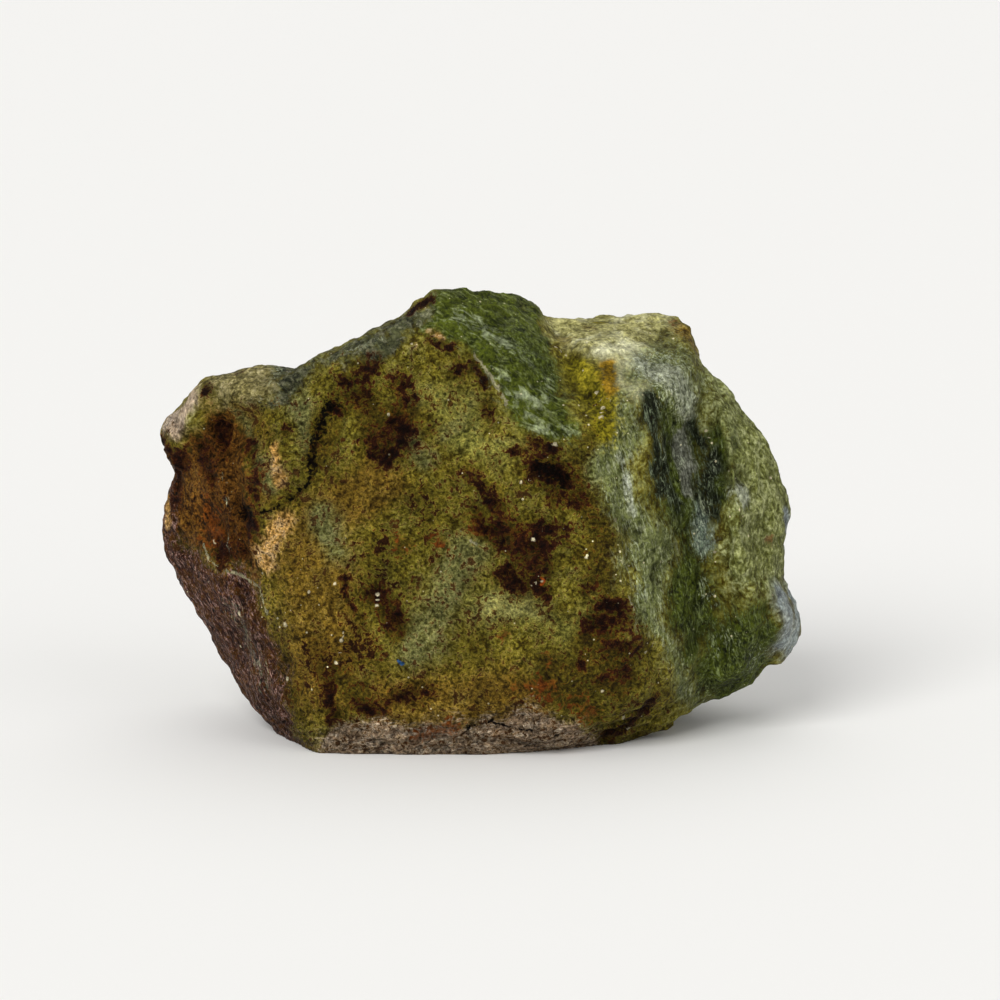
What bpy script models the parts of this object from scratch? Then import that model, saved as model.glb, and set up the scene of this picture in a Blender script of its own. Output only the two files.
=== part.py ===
"""Rough green fluorite: one broken lump, as dug, standing on its flat cleavage foot.

Sizes are in millimetres and turn to metres at the end. X runs to the right of
the stained front, Y away from it, Z up. The lump is six cleavage blocks grown
into one another. Each block is the hull of the corners that stand out on it.
The blocks are fused and their edges worn, then steps, hollows, ridges and a
rough grain are pressed into the skin, and the flats are thinned to few faces.
"""

import bmesh
import bpy
import numpy as np
from mathutils import Vector, noise

MM = 0.001

# Driving dimensions, in millimetres
FULL_WIDTH = 64.4
SKIN_CELL = 0.55
MOST_TRIANGLES = 9400

# Wear: how far each pass draws a corner in towards its neighbours, and the passes
WEAR_SHARE = 0.5
WEAR_PASSES = 3
BLUNTING_PASSES = 1

# The blocks, each by the corners that stand out on it
STAINED_BODY = {
    "left ridge": ((-21.4, -8, 27.5), (-20.8, -9, 18.7), (-18.7, -9.5, 5.2)),
    "front roll": ((-14.7, -12.5, 3.4), (-1.9, -14, 3.6), (8.9, -13.5, 3.5)),
    "right ridge": ((16.2, -12, 5.3), (14.7, -13.5, 15.6), (12.4, -13, 23.4)),
    "fresh face foot": ((11.8, -11, 31), (7.8, -12.2, 30.7)),
    "stain top": ((3.5, -10, 37.2), (-3.9, -8.5, 40.3), (-12.7, -7.5, 38.2), (-17.7, -5.5, 36.9)),
    "crown": ((-4.4, -4.5, 44.8), (1, -1.5, 44.6), (5.8, 1.5, 42.2)),
    "left flank": ((-31, 2, 24), (-31.7, 3, 19), (-30.2, 3, 13.3), (-27.4, 3, 8.2)),
    "left shoulder root": ((-27.8, -3.4, 28.5), (-26.5, -4, 17)),
    "left underside": ((-24.2, 1, 3.6), (-20.3, -3, -0.2), (-18.5, -6, -0.9)),
    "foot front": ((-16.2, -11.6, -0.9), (-2.9, -12.0, -0.9), (8, -8.6, -0.9), (13.9, -6.7, -0.9)),
    "foot back": ((-14, 12, -0.9), (0, 15.5, -0.9), (11, 13.5, -0.9)),
    "back": ((-25, 12, 20), (-21, 15, 9), (-6, 18, 14), (9, 19, 12), (17, 18, 8)),
    "back top": ((-20, 13, 32), (-9, 15, 35), (4, 17, 32), (-5, 5, 42.2), (4, 7, 41)),
}
LEFT_SHOULDER = {
    "top": ((-26.3, -2, 36.1), (-23.3, -1, 36.5), (-17.9, 0, 36.3), (-29.1, -2, 34.3)),
    "knob": ((-31.9, 0, 30.7), (-32, 0, 29.2), (-30.7, -1, 26.3)),
    "pale chip": ((-27.2, -4.3, 35), (-30, -3.2, 30.2)),
    "front": ((-22.5, -6.4, 34.3), (-18.6, -6, 35.5)),
    "back": ((-28.5, 9, 33), (-14, 12, 35), (-29, 8, 26), (-16, 6, 30), (-20, 0, 22)),
}
RIGHT_LOBE = {
    "top": ((6.5, 3, 40.9), (14, 4, 41), (18.1, 5, 41), (21, 4, 40.6), (2, 9, 40), (19, 10, 38.5)),
    "brow": ((9.4, -4, 38.8), (12.8, -9, 34.6), (16.7, -8, 35), (20.5, -3, 36.8)),
    "right wall": ((21.2, 2, 38.5), (22, 2, 36.7)),
    "pale ridge": ((11.9, -10.6, 31.8), (13.1, -12.6, 21.3), (15.6, -12.8, 11.4), (17, -10.8, 5)),
    "furrow side": ((21.3, -3.4, 33.5), (20.8, -4.6, 25.8), (21.4, -5.6, 17.9), (22.4, -6, 10)),
    "underside": ((13.6, -6.6, -0.9), (17.6, -5.4, 0.7), (21.8, -3, 2.4)),
    "back": ((21, 15, 32), (3, 13.6, 36), (22, 16, 14), (15, 14, 2), (8, 5, 10)),
}
RIGHT_BULGE = {
    "shoulder": ((22, 2, 36.6), (23.8, 1, 33.8), (26.2, 0, 31.1), (28.5, 1, 28.5), (23.4, -4.2, 33)),
    "crest": ((24.6, -7.2, 26.5), (25.4, -7.8, 18.7), (27.4, -5.8, 12.1), (26.1, -6, 8)),
    "right wall": ((29.2, 1.5, 25.9), (30.5, 2, 22.7), (30.4, 3, 15.4), (29.6, 2, 10)),
    "underside": ((28, 1, 5.5), (26.2, 0, 4), (22.1, -1, 2.1), (19, -1, 1.6)),
    "back": ((21, 15, 32), (27, 11, 27), (28, 12, 15), (20, 14, 4), (17, 8, 20)),
}
GREY_TIP = {
    "tip": ((32.4, 3, 11.5), (32.3, 3, 9), (31.5, 2, 7.6), (29.8, 2, 5.8), (30.3, 3, 14.9)),
    "front": ((28.9, -4, 14.7), (29.6, -5, 11.9), (27.9, -4, 8.6)),
    "back": ((30, 8.5, 14), (30.5, 8.5, 9), (24, 8, 6), (23, 4, 12)),
}
BACK_RIDGE = {
    "crest": ((-8, 15.6, 34), (0, 20.5, 25), (5, 22.6, 14), (3, 19.8, 4)),
    "sides": ((-17, 14.6, 25), (-12, 17.5, 12), (14, 18.2, 24), (16, 18.6, 10)),
    "root": ((-6, 6, 30), (-6, 6, 8)),
}
BLOCKS = (STAINED_BODY, LEFT_SHOULDER, RIGHT_LOBE, RIGHT_BULGE, GREY_TIP, BACK_RIDGE)

# Hollows and bumps pressed into the skin: middle, reach, depth (minus stands out)
HOLLOWS = {
    "dark pit field": ((6.4, -13, 26), 6.0, 0.9),
    "stain hollow": ((-8, -9, 35), 5.0, 0.5),
    "clean swell": ((-6, -12, 30), 7.0, -0.5),
    "front swell": ((-3, -14, 12), 10.0, -0.6),
    "left flank scoop": ((-27, -3, 21), 7.0, 1.0),
    "left low scoop": ((-24, -4, 10), 6.0, 0.7),
    "furrow deep": ((20.6, -6, 29), 5.0, 1.2),
    "furrow low": ((20.8, -6.5, 14), 5.5, 0.6),
    "shoulder saddle": ((-18.5, -1, 36.8), 3.0, 0.4),
    "shell break": ((-14, 18, 27), 9.0, 2.0),
    "back low break": ((8, 21, 10), 9.0, 1.6),
    "back corner break": ((18, 18, 25), 9.0, 1.8),
    "back top break": ((-13, 13, 37), 8.0, 1.4),
}
# Steps where a cleavage sheet ends: start, end, drop on the right of the line, how far the drop reaches
STEPS = {
    "cleft": ((-2.4, -13, 27.4), (4.6, -13, 16.2), 0.9, 6.5),
    "upper cleft": ((-12, -10, 34), (-17.5, -9, 26), 0.5, 5.0),
    "left flank sheet": ((-25, -5, 33), (-21.6, -8, 14), 0.6, 4.0),
    "bulge sheet": ((24.5, -6, 30), (23.6, -7, 14), 0.35, 3.0),
    "rim sheet": ((12, -13.6, 3.0), (-6, -13.6, 4.2), 0.6, 2.4),
    "back sheet": ((10, 20, 30), (2, 21, 6), 1.1, 9.0),
    "back low sheet": ((-18, 16, 26), (-9, 19, 8), 0.8, 6.0),
}
# The rough grain of the skin: size of a lump, height, and the seed that moves it
GRAIN = ((13.0, 0.7, 3.0), (5.0, 0.32, 11.0), (2.4, 0.12, 29.0))
# Each size of lump carries a second, half as large and half as high
FINER_BY = 2.0
LOWER_BY = 1.0
LUMPS_ON_LUMPS = 2
CHIP_SIZE = 6.5
CHIP_DEPTH = 0.35
CHIP_LEVEL = 0.5
FOOT_BLUR = 0.06

OLIVE_STAINED_STONE = (0.112, 0.088, 0.018, 1.0)
DULL_BREAK = 0.45


def add_block(shape, block):
    """The hull of one block's corners, as a closed body of its own."""
    corners = [shape.verts.new(corner) for place in block.values() for corner in place]
    made = bmesh.ops.convex_hull(shape, input=corners)
    inner = {corner for corner in made["geom_interior"] if isinstance(corner, bmesh.types.BMVert)}
    inner |= {corner for corner in made["geom_unused"] if isinstance(corner, bmesh.types.BMVert)}
    bmesh.ops.delete(shape, geom=list(inner), context="VERTS")


def as_modelled(lump):
    """The lump's mesh with its modifiers taken in."""
    bpy.context.view_layer.update()
    graph = bpy.context.evaluated_depsgraph_get()
    return bpy.data.meshes.new_from_object(lump.evaluated_get(graph))


def fuse_blocks(lump):
    """The blocks grown into one skin of even cells, its edges worn a little."""
    shape = bmesh.new()
    for block in BLOCKS:
        add_block(shape, block)
    shape.to_mesh(lump.data)
    shape.free()
    skin = lump.modifiers.new("Fuse", "REMESH")
    skin.mode = "VOXEL"
    skin.voxel_size = SKIN_CELL
    worn = lump.modifiers.new("Wear", "SMOOTH")
    worn.factor = WEAR_SHARE
    worn.iterations = WEAR_PASSES
    lump.data = as_modelled(lump)
    lump.modifiers.clear()


def fade(share):
    """One at nought, nought at one and past it, smooth between."""
    kept = np.clip(1 - share, 0, 1)
    return kept * kept * (3 - 2 * kept)


def hollow_depth(points, middle, reach, depth):
    away = np.linalg.norm(points - np.array(middle), axis=1)
    return depth * fade(away / reach)


def step_depth(points, normals, start, end, drop, reach):
    """How far the skin drops past the line, sharply at the line and slowly back beyond it."""
    start = np.array(start)
    run = np.array(end) - start
    length = np.linalg.norm(run)
    along = (points - start) @ run / length
    nearest = start + np.clip(along, 0, length)[:, None] * run / length
    away = points - nearest
    side = np.einsum("ij,ij->i", np.cross(run / length, normals), away)
    past = np.clip(side / SKIN_CELL, -1, 1) / 2 + 0.5
    return drop * past * fade(np.linalg.norm(away, axis=1) / reach)


def grain_height(point):
    """The rough skin at one point: lumps of three sizes, and flat chips between low ridges."""
    height = 0.0
    for size, rise, seed in GRAIN:
        spot = Vector(point) / size + Vector((seed, -seed, seed))
        height += rise * noise.fractal(spot, LOWER_BY, FINER_BY, LUMPS_ON_LUMPS)
    gaps = noise.voronoi(Vector(point) / CHIP_SIZE)[0]
    return height + CHIP_DEPTH * (gaps[1] - gaps[0] - CHIP_LEVEL)


def read_points(mesh, what="co"):
    values = np.empty(len(mesh.vertices) * 3, np.float32)
    mesh.vertices.foreach_get(what, values)
    return values.reshape(-1, 3).astype(float)


def write_points(mesh, points):
    mesh.vertices.foreach_set("co", points.ravel())
    mesh.update()


def press_features(mesh):
    """Move the skin along its normals by the hollows, the steps and the grain."""
    points = read_points(mesh)
    normals = read_points(mesh, "normal")
    depth = sum(hollow_depth(points, *hollow) for hollow in HOLLOWS.values())
    depth += sum(step_depth(points, normals, *step) for step in STEPS.values())
    depth -= np.array([grain_height(point) for point in points])
    write_points(mesh, points - normals * depth[:, None])


def cleave_foot(mesh):
    """Part the stone along the flat plane at Z = 0: what lay under it is drawn up onto it."""
    points = read_points(mesh)
    points[:, 2] = np.where(points[:, 2] < FOOT_BLUR, 0, points[:, 2])
    write_points(mesh, points)


def thin_the_flats(lump):
    """Fewer triangles, so that flat faces take few of them and the edges keep theirs."""
    soft = lump.modifiers.new("Blunt the burrs", "SMOOTH")
    soft.factor = WEAR_SHARE
    soft.iterations = BLUNTING_PASSES
    thin = lump.modifiers.new("Thin the flats", "DECIMATE")
    thin.ratio = MOST_TRIANGLES / sum(len(face.vertices) - 2 for face in lump.data.polygons)
    lump.data = as_modelled(lump)
    lump.modifiers.clear()


def bring_to_size(mesh):
    """The lump at its full width, in metres, centred over its foot."""
    points = read_points(mesh)
    low, high = points.min(axis=0), points.max(axis=0)
    points[:, :2] -= (low[:2] + high[:2]) / 2
    points *= FULL_WIDTH * MM / (high[0] - low[0])
    write_points(mesh, points)


def olive_stone():
    """Cloudy green stone under an olive stain: a dull break, no shine of its own."""
    material = bpy.data.materials.new("stained_fluorite")
    material.use_nodes = True
    surface = material.node_tree.nodes["Principled BSDF"]
    surface.inputs["Base Color"].default_value = OLIVE_STAINED_STONE
    surface.inputs["Roughness"].default_value = DULL_BREAK
    surface.inputs["Metallic"].default_value = 0.0
    return material


def clear_scene():
    for thing in list(bpy.data.objects):
        bpy.data.objects.remove(thing)


clear_scene()
fluorite = bpy.data.objects.new("rough_fluorite", bpy.data.meshes.new("rough_fluorite"))
bpy.context.scene.collection.objects.link(fluorite)
fuse_blocks(fluorite)
press_features(fluorite.data)
cleave_foot(fluorite.data)
thin_the_flats(fluorite)
cleave_foot(fluorite.data)
bring_to_size(fluorite.data)
fluorite.data.materials.clear()
fluorite.data.materials.append(olive_stone())
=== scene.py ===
"""A rough lump of cloudy green fluorite on a pale table, in soft studio light."""
import math

import bpy
import numpy as np
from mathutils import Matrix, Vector, noise


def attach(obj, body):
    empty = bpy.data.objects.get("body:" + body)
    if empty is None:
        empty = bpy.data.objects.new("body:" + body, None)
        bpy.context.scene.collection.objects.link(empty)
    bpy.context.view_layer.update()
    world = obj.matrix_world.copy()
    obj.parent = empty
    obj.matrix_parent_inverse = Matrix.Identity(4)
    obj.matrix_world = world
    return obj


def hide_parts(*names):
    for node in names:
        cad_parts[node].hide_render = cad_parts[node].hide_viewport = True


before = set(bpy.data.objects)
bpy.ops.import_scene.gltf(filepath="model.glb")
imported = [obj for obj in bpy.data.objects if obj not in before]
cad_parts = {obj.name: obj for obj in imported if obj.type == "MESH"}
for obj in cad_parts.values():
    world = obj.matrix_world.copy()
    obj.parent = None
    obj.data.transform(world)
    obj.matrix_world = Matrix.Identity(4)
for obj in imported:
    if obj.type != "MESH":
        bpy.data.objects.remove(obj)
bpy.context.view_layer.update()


# The lump: green fluorite, a soft glassy mineral that fills veins in rock. It was knocked
# out of its vein, so it has no crystals of its own: flat cleavage faces, torn fibrous breaks
# and rolls worn dull. Iron and clay from the vein stain the side that lay open.
MM = 0.001
SKIN_CELL = 0.35

lump = bpy.data.objects.new("fluorite_lump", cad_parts["rough_fluorite"].data.copy())
bpy.context.scene.collection.objects.link(lump)
even = lump.modifiers.new("Even skin", "REMESH")
even.mode = "VOXEL"
even.voxel_size = SKIN_CELL * MM
worn = lump.modifiers.new("Wear", "SMOOTH")
worn.factor = 0.5
worn.iterations = 3
bpy.context.view_layer.update()
lump.data = bpy.data.meshes.new_from_object(lump.evaluated_get(bpy.context.evaluated_depsgraph_get()))
lump.modifiers.clear()
lump.data.name = "fluorite_lump"
skin = lump.data


def read_skin(what):
    """The skin's points or normals, one row each."""
    values = np.empty(len(skin.vertices) * 3, np.float32)
    skin.vertices.foreach_get(what, values)
    return values.reshape(-1, 3).astype(float)


places = read_skin("co") / MM
facing = read_skin("normal")


def rough(size, seed, octaves=3, stretch=(1, 1, 1)):
    """Rough lumps of one size in mm over the skin, from about -1 to 1."""
    spots = places / size / np.array(stretch) + seed
    return np.array([noise.fractal(Vector(spot), 1.0, 2.0, octaves) for spot in spots])


def ease(value):
    """Nought to one, with a soft start and end."""
    held = np.clip(value, 0, 1)
    return held * held * (3 - 2 * held)


# Marks are laid on the skin through a small wander, so that none has a ruled edge. The
# broad ones wander further. Each wander has its size and its reach in mm. The seed is set
# because the marks would otherwise fall elsewhere each time.
WANDER = ((3.2, 0.8), (1.0, 0.35))
FAR_WANDER = ((7.0, 1.6), (2.2, 1.0))
WANDER_SEED = 4
noise.seed_set(WANDER_SEED)
wandered = places.copy()
for size, reach in WANDER:
    wandered += reach * np.array([noise.noise_vector(Vector(spot) / size) for spot in places])
strayed = wandered.copy()
for size, reach in FAR_WANDER:
    strayed += reach * np.array([noise.noise_vector(Vector(spot) / size) for spot in places])


def toward(line, spots):
    """The way from each spot to the nearest place on a line through points, in mm, and its length."""
    corners = [np.array(point, float) for point in line]
    ways = np.zeros_like(spots)
    nearest = np.full(len(spots), np.inf)
    for start, end in zip(corners, corners[1:] or corners):
        run = end - start
        share = np.clip((spots - start) @ run / max(run @ run, 1e-9), 0, 1)
        way = start + share[:, None] * run - spots
        gap = np.linalg.norm(way, axis=1)
        closer = gap < nearest
        nearest[closer] = gap[closer]
        ways[closer] = way[closer]
    return ways, nearest


def daub(reach, *line):
    """A mark along a line: one on it, a half at its reach, nought at twice that."""
    return ease(1 - toward(line, wandered)[1] / (2 * reach))


FIELD_FADE = 6


def field(outline, soft, deepest):
    """A mark over an outline drawn from the front, fading past its deepest Y, its edge `soft` mm wide."""
    spots = strayed[:, [0, 2]]
    corners = np.array(outline, float)
    nearest = np.full(len(spots), np.inf)
    inside = np.zeros(len(spots), bool)
    for start, end in zip(corners, np.roll(corners, -1, axis=0)):
        run = end - start
        share = np.clip((spots - start) @ run / (run @ run), 0, 1)
        nearest = np.minimum(nearest, np.linalg.norm(spots - start - share[:, None] * run, axis=1))
        crosses = (start[1] > spots[:, 1]) != (end[1] > spots[:, 1])
        rise = run[1] if run[1] else 1e-9
        inside ^= crosses & (spots[:, 0] < start[0] + (spots[:, 1] - start[1]) * run[0] / rise)
    depth = np.where(inside, nearest, -nearest)
    return ease(0.5 + depth / (2 * soft)) * ease((deepest - strayed[:, 1]) / FIELD_FADE + 0.5)


# Where each kind of stone shows, from the front: edge softness, deepest Y, outline in X and Z.
FIELDS = {
    "stained": {
        "front and left": (2.0, 2, ((-36, 32), (-29, 31.5), (-26, 34), (-22, 35.5), (-15, 38), (-6, 41),
                                    (-2.2, 40.2), (0.7, 36.7), (3.3, 33.3), (6.1, 31.3), (9, 31.8),
                                    (10.5, 35.5), (12, 33), (11.3, 29), (13.3, 22), (14, 15), (15.2, 12),
                                    (17.5, 7), (20, -4), (-36, -4))),
    },
    "fresh": {
        "crown": (1.3, 9, ((-5.5, 46), (10, 46), (6.2, 41.5), (5.3, 40.5), (5.8, 39.3), (6.5, 38.1),
                           (7.2, 36.4), (7.3, 34.6), (8.8, 32.3), (8.2, 31.4), (6.1, 31.3), (3.3, 33.3),
                           (2.6, 34.7), (0.7, 36.7), (-0.7, 39), (-2.2, 40.2), (-3.6, 41.1), (-5.8, 41.2),
                           (-6.6, 41.9), (-5.9, 43.7))),
    },
    "slate": {
        "left saddle": (1.6, 3, ((-20.2, 38), (-14.6, 39.6), (-13.5, 39.7), (-15.4, 38.4), (-17.2, 36.2),
                                 (-19.6, 34.6), (-22.1, 33.5), (-21.1, 35.8))),
        "crown's left edge": (1.4, -4, ((-15.3, 37.9), (-14.6, 39.6), (-5.3, 45), (-4.9, 44.2), (-6.1, 42.2),
                                       (-8.1, 40.7), (-12.3, 38.7), (-14, 38.3))),
    },
    "horn": {
        "left lumps": (1.8, 6, ((-26.8, 38), (-19.8, 38), (-19.9, 36.8), (-21, 35.9), (-22.3, 34),
                                (-23.6, 33.4), (-25.9, 32.9), (-26.5, 34.5))),
    },
    "ochre": {
        "left flank": (2.0, 4, ((-24.9, 33.2), (-26.3, 33.6), (-27.5, 32.5), (-29, 30.9), (-31.6, 29.5),
                                (-36, 28), (-36, 19), (-31.7, 19.7), (-27.7, 18.8), (-25, 16.7),
                                (-22.4, 16.2), (-22.1, 18.7), (-21.3, 20.9), (-22.3, 24.3), (-21.5, 27.6),
                                (-22.3, 29.8), (-23.5, 31.2))),
    },
    "purple": {
        "left foot": (1.8, 8, ((-36, 19.6), (-31.7, 19.9), (-27.7, 19.1), (-27, 17.5), (-23.9, 16.8),
                               (-22.7, 16.2), (-21.6, 14), (-21.1, 12.7), (-20.7, 10.3), (-19.4, 8),
                               (-18.9, 5.6), (-17.6, 2.5), (-16.8, -4), (-36, -4))),
    },
    # The lobe top: pale stone, painted paler still with the light that falls on its upward face.
    "lobe": {
        "lobe top": (3.0, 9, ((5.8, 43), (6.2, 41.5), (6.6, 40.3), (9.1, 39.5), (10.5, 39), (12, 37.9),
                              (13.5, 37), (14.7, 36), (16.5, 36.4), (17.5, 37.6), (17.6, 38.6),
                              (19.5, 39.6), (19, 43))),
    },
    "ridge": {
        "silky face": (3.6, 3, ((13.5, 37.1), (17.3, 38.7), (18.8, 39), (20.8, 38.5), (21.6, 36.5),
                                (22.1, 35.1), (21.6, 33.3), (20.5, 32.9), (18.9, 32.8), (16.9, 34.6),
                                (15.4, 34.8), (14, 35.2))),
        "pale ridge": (2.2, 0, ((13.4, 36), (14.7, 35.5), (15.4, 33.8), (15.6, 31), (15.7, 28), (16.2, 25.1),
                                (17.1, 23), (18.3, 21.4), (18.7, 19.5), (17.6, 17.2), (17.3, 14.1),
                                (18.4, 11.3), (19.5, 9.4), (21.1, 4.9), (22.6, -0.1), (18.8, 4.6),
                                (17.9, 7.6), (16.9, 10.2), (15.4, 12.2), (14.4, 14.1), (14.1, 16.6),
                                (13.8, 20), (13.8, 22.6), (12.8, 25), (11.7, 27.5), (11.2, 30.3),
                                (11.9, 32.6), (12.6, 34.4))),
    },
    # The furrow and the right underside: dark clear stone, with painted shade in the recess and on the
    # down-facing side.
    "deep": {
        "furrow foot": (3.2, 0, ((17.5, 24.8), (20.5, 24.3), (22, 21.2), (22.4, 18.2), (22.8, 15.1),
                                 (23.6, 12.1), (21.6, 9.2), (19.5, 9.3), (18.2, 12.2), (17.6, 15.2),
                                 (17.8, 17.6), (19, 19.5), (18.7, 21.8))),
        "right underside": (3.4, 6, ((23.6, 14.1), (28.6, 14), (29.4, 12), (29.5, 6.2), (25.9, 3), (22, -1),
                                     (20.7, 5), (19.7, 8.7), (21.6, 9.4), (22.8, 11.6))),
    },
    "right": {
        "right bulge": (3.2, 9, ((21.7, 37.3), (23.8, 36), (30, 31), (36, 26), (36, 16.5), (30.5, 14.9),
                                 (29.1, 14), (25.5, 14.4), (23.5, 18.2), (23.1, 22.2), (23.7, 26.2),
                                 (23.1, 28.9), (22.2, 31.3), (21.2, 33.4))),
    },
    "rim": {
        "front rim": (1.6, 4, ((-16.8, 0.4), (-15.4, 2.1), (-13.9, 3), (-11.4, 3), (-9.6, 2.6), (-7.1, 2.3),
                               (-4.2, 2.8), (-1.9, 3.4), (-0.2, 4.6), (2.3, 5.3), (5.5, 5.1), (9.7, 3.3),
                               (11.3, 1.4), (11.9, -4.7), (-17.6, -4.7))),
    },
    "clean": {
        "swell under the crown": (2.6, -5, ((-6.6, 36.4), (-3.3, 36.9), (-0.9, 35.4), (0.1, 33), (1, 32.2),
                                            (4, 31.4), (2.3, 29.8), (1.3, 28.6), (-2.6, 29), (-4.5, 30.8),
                                            (-4.5, 32.9), (-6.6, 35.2))),
        "under the cleft": (3.4, -5, ((-2.7, 17.6), (1.7, 18.1), (4.2, 15.2), (11.5, 16.2), (11.5, 14.7),
                                      (7.6, 11.9), (3.7, 13.3), (-1.2, 13.8))),
    },
}
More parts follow.
